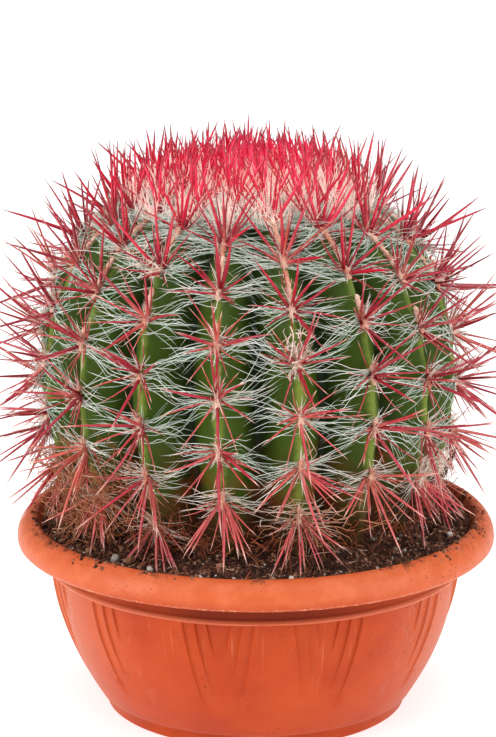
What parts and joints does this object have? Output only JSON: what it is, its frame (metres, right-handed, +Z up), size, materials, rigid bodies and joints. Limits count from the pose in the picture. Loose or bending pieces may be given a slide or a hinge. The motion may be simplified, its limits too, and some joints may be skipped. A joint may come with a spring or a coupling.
{
  "type": "potted round cactus",
  "caption": "Round ribbed cactus with stout red spines, standing in dark soil in a low terracotta-coloured plastic bowl pot.",
  "frame": {"origin": "centre of the underside of the pot's foot ring", "axes": "+Z up along the pot's axis, -Y towards the front of the plant as pictured"},
  "size_m": [0.2777, 0.2821, 0.305],
  "materials": {
    "pot_plastic": "moulded, slightly glossy",
    "soil": "loose potting soil with pale grit",
    "stem_skin": "waxy green skin",
    "spines": "smooth red horn",
    "hairs": "pale papery bristles",
    "wool": "matted felt",
    "dry_fibre": "dry dead fibre"
  },
  "bodies": {
    "root": {"pot": "pot_plastic", "soil": "soil", "cactus": "stem_skin"}
  },
  "joints": []
}
